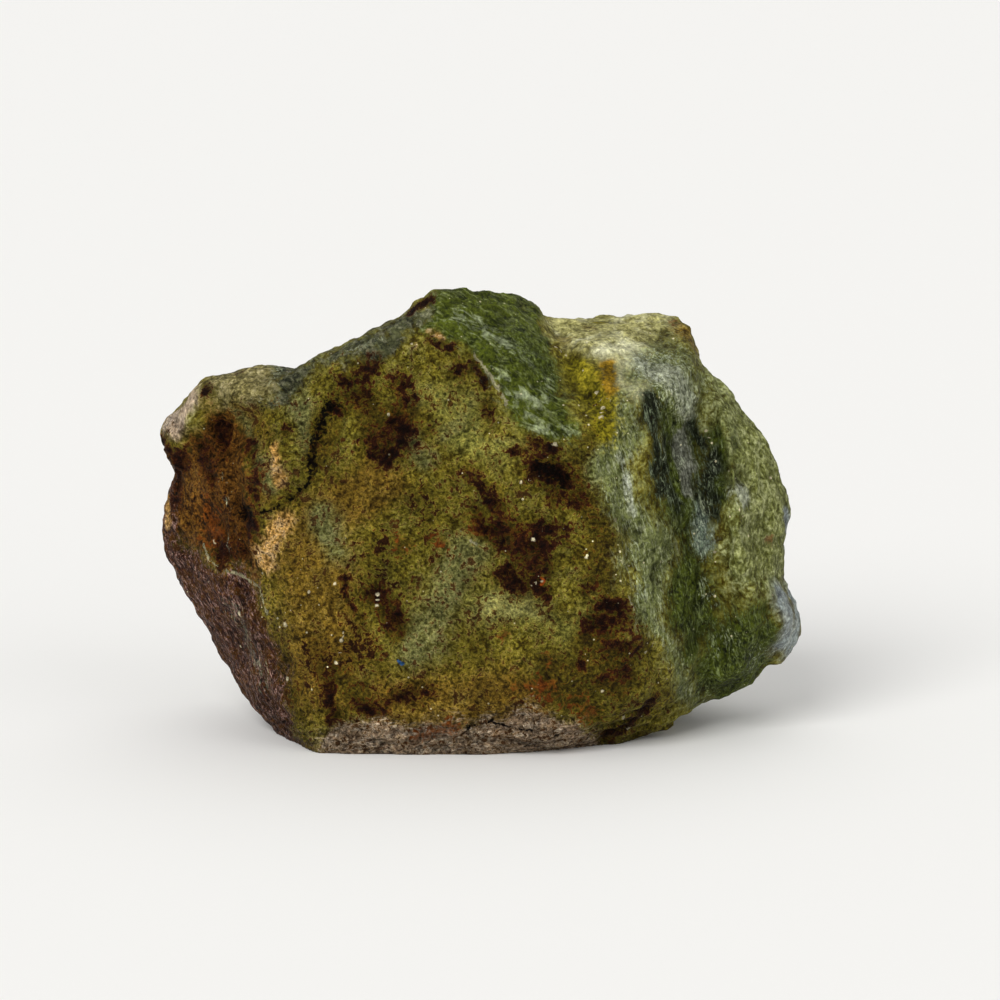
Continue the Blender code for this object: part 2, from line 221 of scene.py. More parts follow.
# Smaller marks and those on the ends and the back: reach, then the points of a line, in mm. A
# window is a dark spot of clear stone, which light goes deep into.
DAUBS = {
    "milky": {
        "left seam": (0.8, (-25.4, -7.6, 35.7), (-24.1, -8.4, 32.6), (-22.3, -10.3, 29.8),
                      (-20.7, -12.3, 26.1)),
        "beside the pale chip": (0.9, (-28.6, -6, 33.5), (-28.3, -6.5, 31.5)),
        "left of the clean face": (1.0, (-8.6, -13.5, 33.5), (-5.5, -14.2, 29)),
        "middle": (2.4, (-1.5, -15.5, 20), (-4, -15.5, 15.5), (-6, -15.5, 11)),
        "left middle": (1.6, (-15.5, -12.8, 23.5), (-14, -13.5, 19.5)),
        "upper left": (1.5, (-18, -11.5, 34), (-17, -11.5, 30)),
        "right bulge": (1.6, (26, -9.3, 23.3), (26.7, -9.7, 18.3)),
        "right rim": (1.4, (25.2, -2.7, 33.2), (28.5, -3.4, 28.3), (29.9, -3.9, 23.3)),
    },
    "ochre": {
        "left end": (6, (-30, 3, 26), (-27, 10, 22)),
        "lobe back corner": (2.2, (20, 9, 38), (21, 13, 33)),
    },
    "purple": {
        "left end foot": (5, (-28, 4, 10), (-22, 12, 8)),
        "left edge": (1.4, (-31.8, -2.4, 24), (-31.5, -2.2, 19)),
    },
    # The lobe: pale stone, with painted light on its top.
    "lobe": {
        "lobe back": (4, (6, 8, 40), (14, 12, 37)),
        "lobe band": (2.2, (8.2, -2.3, 40.7), (11.6, -6.3, 39.8), (14, -9, 37.7), (15.5, -11, 36)),
    },
    "silky": {
        "lobe face": (1.7, (16, -8.5, 37.6), (18, -9.3, 36.8), (19.7, -9, 35.2), (20.5, -8.2, 33.6)),
        "ridge edge": (0.6, (13.5, -14, 29), (14.6, -15, 24)),
        "right bulge": (0.9, (25.5, -9.5, 25.2), (25.8, -9.4, 24.2)),
    },
    "right": {
        "right end": (6, (28, 8, 26), (27, 10, 14)),
        "by the amber": (1.3, (12.5, -12.5, 32), (11.5, -15, 28)),
    },
    # Dark clear stone; in the furrow and low on the right its darkness is also painted shade.
    "deep": {
        "right end foot": (4, (27, 4, 6), (22, 9, 4)),
        "behind the crown": (4, (-2, 6, 41), (-10, 10, 37)),
        "crown middle": (1.6, (3.5, -10, 41), (6.5, -12, 37)),
        "furrow low": (2.2, (20.5, -10.5, 17.5), (21.6, -9.7, 12.2), (20.5, -11.5, 9.6)),
        "low right": (2.4, (23.6, -8.6, 10), (26.1, -9.1, 7.6), (28.1, -8, 9.9)),
        "round the windows": (3.4, (18.6, -10.3, 34.5), (19.1, -8.5, 30.1), (19.9, -10.3, 23.4)),
        "right of the windows": (1.8, (23.4, -6.5, 30), (23.6, -8.5, 25)),
    },
    "tip": {
        "grey tip": (1.8, (29.8, -6.8, 14), (30.7, -6.4, 12.1), (30.3, -5.5, 9.4)),
        "grey tip side": (2.0, (31, 0, 13.4), (31.6, -2.3, 11.3), (31.2, -3.1, 8.4)),
        "right edge": (0.8, (30.3, -3.4, 22.5), (30.7, 0, 16.9)),
    },
    "window": {
        "left window": (1.1, (16.4, -12, 34.7), (16.8, -12.2, 31.5), (17, -12.9, 27.9)),
        "left window core": (1.3, (17.8, -10.8, 30.3), (17.6, -12, 26.2)),
        "left window foot": (0.8, (18.3, -11.5, 25.7), (19.2, -10.8, 23.8)),
        "right window": (0.9, (20.8, -7.4, 32.1), (21.6, -6.6, 29.8)),
        "right window core": (1.3, (22.6, -7.2, 28.2), (22.6, -8.4, 24.6)),
        "right window foot": (0.8, (21.5, -8.3, 24.6), (22.8, -8.8, 22.8)),
    },
    "shade": {
        "upper field": (1.8, (-12, -12.5, 35), (-9.5, -13.3, 31), (-7.5, -13, 34)),
        "cleft": (2.0, (0.5, -16, 24), (5, -17.3, 20)),
        "by the ridge": (1.9, (9.8, -15.6, 30.3), (10.5, -16.2, 26.5), (11.5, -17.2, 22.7), (12, -17.2, 18)),
        "low ridge": (1.1, (15.4, -16.1, 15.5), (16.2, -16.2, 11.5)),
        "low right": (2.6, (11, -17.5, 12), (13, -17, 8), (7, -18, 8)),
        "crack side": (1.6, (-15, -12, 32.5), (-16.5, -12.4, 29)),
        "low left": (1.5, (-15, -15.5, 8.5), (-12, -16.6, 6)),
        "middle left": (1.4, (-10, -15.8, 15.5), (-8.5, -16, 12.5)),
        "left edge of the foot": (1.2, (-20, -13, 9), (-18, -13.5, 4)),
        "left end": (1.6, (-31, -3, 28.5), (-28.5, -6, 27)),
    },
    "chip": {
        "pale chip": (1.1, (-29, -6.5, 34), (-29.4, -6.2, 33), (-29.8, -6.2, 31.8), (-30.7, -5.7, 30.6),
                      (-31.4, -4.5, 30.8), (-30.3, -4.5, 32.5)),
    },
    "amber": {
        "beside the crown": (1.7, (9.4, -9.4, 37.4), (10.6, -10.9, 36), (11.5, -13.3, 33.9),
                             (11.9, -14.3, 31.8)),
        "lobe edge": (0.6, (11.7, -1.2, 40.8),),
    },
    "orange": {
        "on the ridge": (0.8, (12, -9.6, 37.7), (12.7, -12.1, 35.5)),
        "orange grain": (0.4, (-9, -12.6, 33.5)),
    },
    "cream": {
        "flank patch": (1.3, (-19.7, -13, 22.5), (-20.6, -12.9, 20.9), (-21.5, -12.4, 18.8)),
        "flank streak": (0.6, (-20.3, -11.8, 29.6), (-19.8, -12.3, 26.9)),
        "left edge": (0.4, (-31.4, -2.4, 23.5), (-31.7, -2.2, 20.1)),
        "pink spot": (0.35, (-4.7, -12, 41.2), (-4, -12.3, 40.9)),
        "under the crown": (0.3, (-8.3, -11.3, 39.4), (-6.4, -11.8, 40)),
    },
    "golden": {
        "low left": (4.5, (-17, -14, 19), (-15.5, -15, 8)),
        "low": (3.5, (-9, -16.5, 5), (4, -18, 6)),
        "upper left": (3, (-10, -13.5, 27), (-17, -12.5, 22)),
        "lobe edge": (1.6, (9, -6, 40), (12, -2, 40.8)),
        "lobe corner": (1.3, (18.5, -0.6, 40.8), (20.3, -1.5, 39.9), (20.8, -2, 38.5)),
        "right bulge": (1.9, (26.1, -5.8, 29.7), (27.3, -6.1, 26)),
        "under the left lumps": (1.6, (-24.5, -8.5, 33), (-22.5, -10.5, 30.5)),
        "on the flank": (1.1, (-21.3, -12.2, 25.4),),
        "left of the flank": (1.1, (-28.9, -5.1, 25.1), (-28.6, -5, 23.5)),
    },
    # Sand specks, partly painted glints of light off crystal faces.
    "sand_and_glint": {
        "amber": (2.5, (9.6, -11, 37.2), (12.5, -13.5, 32)),
        "ridge side": (3, (9, -15.5, 29), (12.5, -17, 20)),
        "right side": (6, (23, -8, 24), (25, -8, 10)),
        "cleft": (2.5, (1, -16, 22), (5, -17.4, 18)),
        "lobe": (3, (8, -6, 39), (18, -6, 38)),
        "low left": (4, (-20, -12, 14), (-16, -15, 8)),
    },
    "speckle": {
        "low left": (2.8, (-16.4, -15.2, 9.8), (-13, -15.6, 10.4)),
        "low middle": (1.6, (-12, -16.7, 5.2), (-6.1, -16.9, 5.7)),
        "upper middle": (3, (-11.5, -12.1, 34.7), (-9, -13.7, 31)),
        "middle left": (2.4, (-10.5, -15.1, 19.8), (-10, -15.8, 14.5)),
        "right ridge foot": (2.8, (12.5, -17.2, 13.8), (13.5, -17, 7.7)),
        "low right": (1.6, (4.7, -18.3, 7), (9.6, -17.4, 5.3)),
        "middle": (2, (-6.1, -14.8, 26.2), (-4.6, -15.8, 20.9)),
        "left of the ridge": (1.4, (7.6, -15.9, 25.4), (10, -17.4, 21.2)),
        "left flank": (3.5, (-26, -8, 28), (-25, -9, 20)),
    },
    "stain": {
        "crown foot": (0.8, (-10.9, -11.7, 38.3), (-11.5, -11.8, 37.4)),
        "crown foot left": (0.4, (-13.5, -11.6, 37), (-12.8, -11.7, 36.6)),
        "beside the crack": (0.6, (-13.9, -11.9, 33.9),),
        "below the lumps": (0.5, (-19.5, -11.6, 31.3),),
        "upper field": (0.9, (-10.8, -13.2, 30.9), (-9.2, -13.5, 31.5), (-7.7, -13.3, 32.4)),
        "upper field foot": (0.7, (-10.2, -13.7, 29.6), (-8.8, -14, 29.9)),
        "upper field top": (0.8, (-7.8, -12.2, 36.4), (-7.1, -12.5, 35.2)),
        "upper field right": (0.9, (-8.5, -13, 32.8), (-7.4, -13.9, 31)),
        "crown line": (0.45, (-5, -12.4, 40.4), (-2.9, -12.6, 40.1)),
        "clean face top": (0.65, (-2.6, -13.2, 37.8),),
        "clean face corner": (0.45, (-1.1, -13.4, 38.4), (-0.2, -13.9, 36.4)),
        "clean face right": (0.6, (0.4, -14.3, 34),),
        "clean face left": (0.45, (-5, -13.8, 32.1),),
        "under the fresh break": (0.6, (4.8, -15.3, 31), (6.8, -15.6, 30.2)),
        "left of that": (0.4, (2.6, -15.1, 30.1), (4, -15.3, 29.9)),
        "black pit": (1.1, (5.4, -15.6, 28.5), (7.8, -15.7, 27.4)),
        "below the black pit": (1.0, (7.5, -15.9, 25.8), (9.5, -16.2, 25.6)),
        "cleft top": (0.9, (-1.6, -15.5, 27.2), (0.8, -15.6, 26.2)),
        "cleft side": (1.3, (0.6, -15.9, 24.8), (1.5, -16.7, 23)),
        "cleft middle": (1.0, (1.6, -16.6, 22), (3.4, -17.2, 21.6)),
        "cleft right": (1.35, (5, -17.4, 21.8), (5.3, -17.5, 19.8)),
        "cleft foot": (0.75, (2.6, -16.7, 18.4), (3.7, -16.9, 16.9)),
        "cleft foot right": (0.6, (4.9, -17.4, 17.6), (5.9, -17.4, 16.4)),
        "right of the cleft": (0.7, (7.7, -17.4, 22.2),),
        "small spot": (0.45, (9.2, -17.4, 20.2),),
        "lower small spot": (0.45, (10.2, -17.3, 16.8),),
        "red by the ridge": (1, (11.9, -17.1, 15.1), (13.3, -17, 14.9)),
        "below the red": (0.8, (9.8, -17.7, 13.1), (11.9, -17.4, 13.4)),
        "black by the ridge": (0.9, (13.7, -17.1, 13.9),),
        "lower by the ridge": (0.8, (13.2, -17.5, 11.2), (15, -17, 10.9)),
        "ridge foot": (0.6, (11.6, -17.3, 7.9),),
        "ridge foot right": (0.75, (13.7, -17.2, 8.7),),
        "low spots": (0.5, (9.9, -17.7, 9.6),),
        "low middle": (0.8, (-8.6, -17, 6), (-5.6, -17.1, 6.4)),
        "low middle left": (0.6, (-12.5, -16.6, 5.1), (-10, -17, 4.5)),
        "left middle": (0.8, (-10.6, -15.4, 15.9),),
        "left middle right": (1.0, (-9, -16.2, 13.7),),
        "left middle line": (0.25, (-13.4, -14.8, 18.3), (-13.6, -14.9, 15.8), (-12.6, -15, 14.7),
                             (-11.4, -15.6, 13.1)),
        "left foot spots": (0.6, (-15.4, -15.7, 6.8), (-14.8, -16.4, 3.7)),
        "right foot edge": (0.6, (12.2, -12.8, 1), (14.6, -13.2, 2.1), (16.5, -14.7, 5)),
        "crown edge": (0.4, (-6.9, -9.1, 43.2), (-5, -9, 44.4)),
        "chip rim": (0.5, (-32.6, 0, 29.6), (-31.9, -4.3, 28.9), (-30.9, -5.2, 28)),
        "under the knob": (0.8, (-31.7, -4.6, 28.6), (-30.1, -5.3, 27.7), (-30.7, -3, 25.6),
                           (-30.6, -3.3, 23)),
        "flank 1": (0.6, (-22.9, -9.8, 29.8), (-22.3, -11, 28.4), (-22, -11.6, 27.8)),
        "flank 2": (0.65, (-25.9, -7, 31), (-26, -8, 28.2), (-26.6, -7.9, 26.2)),
        "flank 3": (0.55, (-22.5, -11.5, 26.7), (-22.6, -11.6, 23.8), (-23.1, -10.9, 21.6)),
        "flank 4": (0.65, (-27.4, -6.9, 29.4), (-27.2, -7.5, 27)),
        "flank 5": (0.8, (-25.9, -7.9, 19.5), (-24, -9.8, 19.3)),
        "left lump": (0.5, (-27.3, -7.7, 35.1),),
        "left lump top": (0.4, (-24, -6.6, 36.6),),
    },
    "rust": {
        "lobe corner": (0.6, (19.4, -0.1, 40.8), (20.5, 0, 39.4)),
        "by the ridge": (1.1, (11.9, -17.1, 15.3), (13.3, -17, 15.2)),
        "low right": (0.8, (6.2, -18.2, 9.9),),
        "low middle": (1.0, (3.7, -18.4, 7.6), (6.8, -18.3, 7.1)),
        "low edge": (1.1, (9, -17.6, 5.7), (10.8, -16.5, 4.1)),
        "centre": (0.6, (2.6, -17.8, 12.4),),
        "mid left": (0.8, (-4.1, -15.8, 21),),
        "mid left 2": (0.8, (-7.6, -15.4, 20.7),),
        "foot": (0.9, (-6, -17, 1.8), (-2.5, -17, 3)),
        "right": (0.5, (28.6, -6.5, 19.5),),
        "maroon cleft": (1.5, (0.4, -16.2, 23.2), (5, -17.4, 21.5)),
        "flank": (1.5, (-27.5, -6.5, 22.5), (-27, -7, 20.5)),
    },
    "silk": {
        "crown band": (1.3, (-2.6, -10.5, 42.6), (0.1, -10.9, 41.7), (2.3, -11.5, 40.3), (4, -11.9, 39)),
        "crown foot": (1.3, (0.4, -13.7, 37.6), (2.6, -14.1, 36.4), (4.8, -14.3, 34.8), (6, -13.3, 35.6)),
        "crown corner": (0.9, (5.5, -15, 32.7), (8, -15, 32.3)),
    },
    "thread": {
        "lobe face": (1.2, (17.3, -6.3, 38.5), (18.5, -7.6, 37.7), (20, -8.3, 36.5), (20.6, -7.8, 34.9),
                      (20.3, -8.4, 33.9)),
        "lobe face left": (0.9, (14.7, -9.1, 37.5), (16.1, -10.7, 36.1), (17.4, -11.2, 34.5),
                           (18.9, -10, 33.5)),
        "between the windows": (0.5, (20.3, -7.7, 31.4), (19.5, -8.1, 29.4), (19.5, -9, 26.7),
                                (20.3, -8.9, 25.5)),
        "blue cloud": (0.8, (21.8, -8.2, 24.2), (21.8, -8.5, 23.1), (21.4, -9.2, 21.5), (22.1, -9.1, 18.6)),
        "furrow foot": (0.6, (21.7, -9.3, 16.3), (21.5, -9.4, 14.9), (22.5, -9, 14)),
        "ridge foot": (0.4, (15.4, -16.8, 11.7), (17.5, -14.7, 9.7), (18.7, -13.1, 7.7)),
        "pale ridge": (0.7, (12.5, -13, 29), (14.6, -15, 22), (15.5, -15.5, 15)),
        "low right": (2.0, (24, -8, 10), (27, -7, 8)),
        "flank hatch": (1.8, (-24, -7.5, 13), (-20.5, -9.5, 6)),
        "over the left window": (0.7, (18.3, -11, 33), (18.2, -11.5, 29)),
        "over the right window": (0.6, (21.9, -7, 31), (23, -7.5, 27)),
        "flank vein": (0.3, (-25.4, -8.5, 27), (-25.3, -8.3, 22.9), (-25, -8.6, 20.2), (-24.7, -9.5, 18.5)),
        "left lumps": (0.4, (-19.9, -7, 36.8), (-21, -9.2, 35.9), (-22.1, -9.7, 34.3)),
        "crown's left edge": (0.4, (-13, -10.6, 39.2), (-11.8, -10.7, 39.8), (-9.6, -10.4, 40.9)),
    },
    "blue": {
        "cloud": (1.1, (21.4, -8.6, 23.6), (21.8, -8.9, 21.2), (22.1, -9.2, 19.5)),
    },
    "lilac": {
        "strip": (1.0, (19.5, -8.2, 31.1), (19.9, -8.2, 28.1), (20.5, -8.8, 25.5)),
    },
}
# A green sliver of bare stone stands in the stained cleft.
BARE_SLIVER = (0.55, (-2.4, -14.9, 27.4), (-1.2, -15.4, 26.1), (-0.2, -15.8, 24.8), (0.6, -16.4, 23.8))
# Stain soaks out past where it was laid.
SOAK = {"stain": 1.25}

# Lines finer than the skin's cells: half their width, then their points.
FINE = {
    "crack": {
        "head": (0.4, (-14.7, -11.9, 34.3), (-15.5, -11.8, 32.8), (-15.7, -11.8, 31.8)),
        "middle": (0.3, (-15.7, -11.8, 31.8), (-16.5, -12.2, 30.5), (-16.7, -12.4, 29.6), (-17, -12.4, 28.7),
                   (-16.5, -12.8, 28.2), (-17, -13.2, 26.7)),
        "foot": (0.15, (-17, -13.2, 26.7), (-18, -12.8, 26), (-18.5, -12.7, 25.3), (-19.8, -12.4, 24.4),
                 (-21, -12.4, 23.7), (-22.3, -11.8, 23.3)),
        "flank pit": (0.6, (-23.7, -10.1, 23.2), (-23, -10.6, 23)),
        "black pit": (0.45, (5.4, -15.6, 28.5), (6.9, -15.6, 28.3), (7.8, -15.7, 27.4)),
        "under the rim": (0.1, (-1.7, -17, 2), (-1.1, -17.3, 2.9), (0.8, -17.4, 3.6), (2.5, -17.6, 2.9),
                          (5.1, -18.1, 2.9), (7.5, -17.3, 2.1)),
    },
    # Pale lines along the edges: pale stone with a painted highlight along the ridges.
    "pale edge and highlight": {
        "upper cleft": (0.12, (-2.1, -15.5, 22.4), (-1.2, -15.8, 21.4), (-0.2, -16, 20.7)),
        "crown": (0.16, (-0.7, -13.2, 39.2), (0.5, -13.7, 37.7), (1.5, -14.1, 36), (2.5, -14.4, 34.8)),
        "flank ridge": (0.12, (-27.7, -6, 19.1), (-27, -7.2, 17.7), (-25.3, -8.9, 17.3), (-23.9, -9.9, 16.8),
                        (-22.4, -11, 16.2), (-21.8, -11.6, 15.5), (-21.2, -12.2, 13.5)),
        "ridge": (0.1, (9.5, -13.5, 32.5), (12.2, -15.5, 27), (13.2, -16.5, 22), (14.2, -16.8, 17),
                  (15.2, -16.6, 13)),
    },
    "orange ring": {
        "ring": (0.16, (5.7, -17.3, 18), (6, -17.3, 17.7), (5.7, -17.3, 17.3)),
    },
    "lint": {
        "blue thread": (0.16, (-8.1, -16.8, 9.7), (-7.8, -16.9, 9.4), (-7.5, -16.9, 9.5)),
    },
}
# Sand from the vein, stuck to the skin: its grains, 0.2 to 0.5 mm across.
GRAIN_HALF = (0.11, 0.25)
GRAINS = ((-13.7, -15.2, 12.1), (-13.8, -15.4, 11.4), (25.4, -8.5, 21), (24.6, -8.6, 14.8),
          (26.3, -9.4, 12), (7, -15.5, 30.9), (5.5, -15.6, 27.6), (3.8, -15.6, 27.2),
          (11.8, -17, 6.6), (16.1, -16, 10.2), (14, -14.9, 3.4), (14.6, -12.5, 1.6),
          (4.8, -17.4, 17.2), (10.2, -17.4, 20.2), (-10.3, -15.7, 14.8), (-10.3, -15.4, 15.9),
          (-26.7, -7, 19.7), (-19.6, -13.5, 12.4), (-24.2, -6.6, 8.8),
          (-17.1, -14.3, 15.9), (-14.5, -14.9, 16.7), (-14.3, -15.5, 9.2), (-19.2, -13.3, 7),
          (-6.9, -11.9, 40.2), (7.1, -7.6, 39.2), (8.2, -7.9, 38.4), (11.1, -11.8, 35.3),
          (11.7, -13.2, 34.1), (11.7, -13.9, 33.2), (22.7, -6.7, 29.6), (22.2, -6.1, 30.8),
          (28.8, -4.4, 25.6), (22.9, -9.1, 18.9), (4.9, -17.5, 21.8), (-24.1, -9.3, 12.6),
          (-9.2, -12.7, 33.4), (5.7, -17.3, 17.7), (-5, 18.5, 24), (3, 21.4, 13), (16, 17.5, 14))

# The far side isn't known from the front, so there the stones drift into one another in
# clouds: the size of each kind's clouds in mm, their seed, and how rare they are.
FAR_CLOUDS = {
    "golden": (9, 5.0, 0.0), "clean": (8, 61.0, 0.15), "fresh": (10, 9.0, 0.3), "ochre": (8, 21.0, 0.3),
    "right": (10, 33.0, 0.25), "milky": (6, 47.0, 0.35), "purple": (9, 15.0, 0.5), "deep": (7, 39.0, 0.45),
    "stained": (12, 3.0, -0.2), "speckle": (6, 71.0, 0.1), "stain": (4.5, 83.0, 0.55),
    "thread": (6, 91.0, 0.4), "sand_and_glint": (7, 77.0, 0.0),
}
FAR_FROM, FAR_FADE, CLOUD_EDGE = -0.5, 9, 1.5
far = ease((places[:, 1] - FAR_FROM) / FAR_FADE)
# Sand and painted glints show a little everywhere.
SAND_AND_GLINT_EVERYWHERE = 0.25

marks = {}
for kind, fields in FIELDS.items():
    laid = [field(outline, soft, deepest) for soft, deepest, outline in fields.values()]
    marks[kind] = np.max(laid, axis=0)
for kind, daubs in DAUBS.items():
    laid = np.max([daub(reach * SOAK.get(kind, 1), *line) for reach, *line in daubs.values()], axis=0)
    marks[kind] = np.maximum(marks.get(kind, 0), laid)
for kind, (size, seed, rarity) in FAR_CLOUDS.items():
    clouds = ease(0.5 + CLOUD_EDGE * (rough(size, seed, 4) - rarity))
    marks[kind] = np.maximum(marks[kind], far * clouds)
for kind in ("stain", "speckle", "rust", "shade"):
    marks[kind] = marks[kind] * (1 - daub(*BARE_SLIVER))
marks["sand_and_glint"] = np.maximum(marks["sand_and_glint"], SAND_AND_GLINT_EVERYWHERE)

# A fine line is kept as the way to it, measured in its own half widths, which stays true
# between the skin's points. A place out of its reach only knows that it is far off. The
# lines wander less than the broad marks do, and grains of all sizes are mixed.
halves = np.linspace(*GRAIN_HALF, len(GRAINS))
FINE["grain"] = {place: (halves[(7 * i) % len(halves)], place) for i, place in enumerate(GRAINS)}
FAR_OFF, IN_REACH = 9.0, 1.2
LINE_WANDER = 0.4
lightly = places + LINE_WANDER * (wandered - places)
ways = {}
for kind, lines in FINE.items():
    ways[kind] = np.full_like(places, FAR_OFF)
    nearest = np.full(len(places), np.inf)
    for half, *line in lines.values():
        way, gap = toward(line, lightly)
        closer = (gap / half < nearest) & (gap < IN_REACH)
        nearest[closer] = gap[closer] / half
        ways[kind][closer] = way[closer] / half
away = {kind: np.linalg.norm(way, axis=1) for kind, way in ways.items()}

# The break: lumps of the torn skin, each with its size and height in mm and its seed, and
# chips between them.
TORN_SKIN = ((4.2, 0.22, 5.0), (1.9, 0.22, 17.0), (0.9, 0.13, 31.0))
CHIP_SIZE, CHIP_DEPTH, CHIP_LEVEL = 2.1, 0.2, 0.4
relief = sum(height * rough(size, seed, 2) for size, height, seed in TORN_SKIN)
chip_edges = [noise.voronoi(Vector(spot) / CHIP_SIZE)[0] for spot in wandered]
relief += CHIP_DEPTH * (np.array([edges[1] - edges[0] for edges in chip_edges]) - CHIP_LEVEL)

# Cleavage leaves sheets that end in small steps, most on the flanks and the far side: their
# thickness and the size and height of their waves, in mm.
SHEET, SHEET_WAVE, WAVE_HEIGHT = 0.45, 7.0, 1.6
FEW_SHEETS, MORE_SHEETS = 0.15, 0.6
sheets = WAVE_HEIGHT * rough(SHEET_WAVE, 43.0, 2, (1, 1, 1.6)) / SHEET
stepped = np.floor(sheets) + ease((sheets % 1) * 5) - sheets
broken = np.clip(marks["ochre"] + marks["fresh"] * 0.5 + ease((places[:, 1] - 6) / 6), 0, 1)
relief += SHEET * stepped * (FEW_SHEETS + MORE_SHEETS * broken)

# The fibrous stone of the right side tears along its fibres, which stand nearly upright.
FIBRE_SIZE, FIBRE_LENGTH, FIBRE_HEIGHT = 1.0, 7, 0.16
fibrous = np.clip(marks["ridge"] + marks["window"] + marks["deep"] + 0.5 * marks["lobe"], 0, 1)
relief += FIBRE_HEIGHT * fibrous * rough(FIBRE_SIZE, 57.0, 2, (1, 1, FIBRE_LENGTH))

# Stain lies in pits, sand grains stand proud, and the crack is open. A fine line slopes off
# within twice its half width.
PIT_DEPTH, CRACK_DEPTH, EDGE_HEIGHT, GRAIN_HEIGHT = 0.2, 0.4, 0.12, 0.16
SLOPE_END = 1.8
relief -= PIT_DEPTH * marks["stain"] * (0.7 + rough(0.8, 71.0, 2))
relief -= CRACK_DEPTH * ease(SLOPE_END - away["crack"])
relief += EDGE_HEIGHT * ease(SLOPE_END - away["pale edge and highlight"]) + GRAIN_HEIGHT * ease(SLOPE_END - away["grain"])

# Under the front roll thin sheets end one above another.
ROLL_SHEET, ROLL_STEP = 1.15, 0.34
ROLL_TOP, ROLL_BACK = 5.6, -6
rise = (places[:, 2] + 0.9 * rough(6.0, 83.0, 2)) / ROLL_SHEET
roll = ease((ROLL_TOP - places[:, 2]) / 2) * ease((ROLL_BACK - places[:, 1]) / 3)
relief -= ROLL_STEP * roll * (1 - rise % 1) * ease((rise % 1) * 6)

# The foot stays flat, and the relief fades in just above it.
FOOT_LEVEL, FOOT_FADE = 0.05, 0.7
clear_of_foot = ease(places[:, 2] / FOOT_FADE)
moved = places + facing * (relief * clear_of_foot)[:, None]
moved[:, 2] = np.where(places[:, 2] < FOOT_LEVEL, 0, np.maximum(moved[:, 2], 0))
skin.vertices.foreach_set("co", (moved * MM).ravel())
skin.update()
for face in skin.polygons:
    face.use_smooth = True

# The skin carries its marks for the stone. The pit mark is a half on the level, more in hollows and less on
# high spots; the stone turns it into dirt and painted shade in the hollows and painted light on the high
# spots.
PIT_SHADE_PER_MM = 1.4
marks["pit"] = np.clip(0.5 - PIT_SHADE_PER_MM * relief, 0, 1)
for kind, strength in marks.items():
    carried = skin.attributes.new(kind, "FLOAT", "POINT")
    carried.data.foreach_set("value", strength.astype(np.float32))
for kind, way in ways.items():
    carried = skin.attributes.new(kind, "FLOAT_VECTOR", "POINT")
    carried.data.foreach_set("vector", way.ravel().astype(np.float32))


# The stone itself: fluorite, cloudy with fine cracks. Green within, stained olive by a thin
# skin of iron and clay. A break is waxy, so it shines a little and softly, and light goes a
# millimetre or so into it. Fluorite bends light less than glass does, by 1.433.
FLUORITE_IOR = 1.433
stone = bpy.data.materials.new("cloudy_fluorite_iron_stained")
stone.use_nodes = True
web = stone.node_tree
web.nodes.clear()


def linear(hex_code):
    """The linear colour of an sRGB hex value."""
    parts = [int(hex_code[i:i + 2], 16) / 255 for i in (1, 3, 5)]
    return [p / 12.92 if p <= 0.04045 else ((p + 0.055) / 1.055) ** 2.4 for p in parts] + [1.0]


def add(kind, take, sockets, **settings):
    """One node with its settings; each socket takes a value or a link. Gives its output number `take`."""
    node = web.nodes.new(kind)
    for name, value in settings.items():
        setattr(node, name, value)
    for name, value in sockets.items():
        socket = next(s for s in node.inputs if s.identifier == name)
        if isinstance(value, bpy.types.NodeSocket):
            web.links.new(value, socket)
        else:
            socket.default_value = value
    return None if take is None else node.outputs[take]


mark = {kind: add("ShaderNodeAttribute", 2, {}, attribute_name=kind) for kind in marks}
place = add("ShaderNodeTexCoord", 3, {})
in_mm = add("ShaderNodeVectorMath", 0, {"Vector": place, "Scale": 1000}, operation="SCALE")

# Patterns in the stone: size across and along in mm, lean from upright in degrees, octaves
# and how far they curl.
PATTERNS = {
    "cloud": (5.0, 5.0, 0, 5, 0.5),
    "blotch": (1.7, 1.7, 0, 5, 0.8),
    "fleck": (0.6, 0.6, 0, 4, 0.5),
    "dust": (0.3, 0.3, 0, 3, 0.0),
    "upright fibre": (0.26, 1.5, 12, 4, 1.2),
    "slanted fibre": (0.7, 1.9, 52, 5, 1.0),
    "flank hatch": (0.26, 1.1, 32, 4, 1.0),
    "layers": (1.4, 0.5, 6, 5, 1.6),
    "net": (0.8, 0.8, 0, 3, 1.6),
}
pattern = {}
for name, (across, along, lean, octaves, curl) in PATTERNS.items():
    turned = add("ShaderNodeMapping", 0, {"Vector": in_mm, "Rotation": (0, math.radians(-lean), 0),
                                          "Scale": (across, across, along)}, vector_type="TEXTURE")
    pattern[name] = add("ShaderNodeTexNoise", 0, {"Vector": turned, "Scale": 1.0, "Detail": octaves,
                                                  "Roughness": 0.66, "Distortion": curl})

# Mottling: flecks gathered in blotches. Spatter: specks of dirt that crowd in clouds.
MIXED = {"mottle": (0.5, 0.5, 0.0, 0.0), "spatter": (1.3, 0.8, 0.4, -0.75)}
for name, (flecks, blotches, clouds, level) in MIXED.items():
    broad = add("ShaderNodeMath", 0, {"Value": pattern["cloud"], "Value_001": clouds, "Value_002": level},
                operation="MULTIPLY_ADD")
    closer = add("ShaderNodeMath", 0, {"Value": pattern["blotch"], "Value_001": blotches, "Value_002": broad},
                 operation="MULTIPLY_ADD")
    pattern[name] = add("ShaderNodeMath", 0, {"Value": pattern["fleck"], "Value_001": flecks,
                                              "Value_002": closer}, operation="MULTIPLY_ADD")

# Hairlines: the net's half-way level, a tenth of a millimetre wide.
off_level = add("ShaderNodeMath", 0, {"Value": pattern["net"], "Value_001": 0.5}, operation="SUBTRACT")
off_line = add("ShaderNodeMath", 0, {"Value": off_level}, operation="ABSOLUTE")
pattern["hairline"] = add("ShaderNodeMath", 0, {"Value": off_line, "Value_001": -9.0, "Value_002": 1.0},
                          operation="MULTIPLY_ADD")
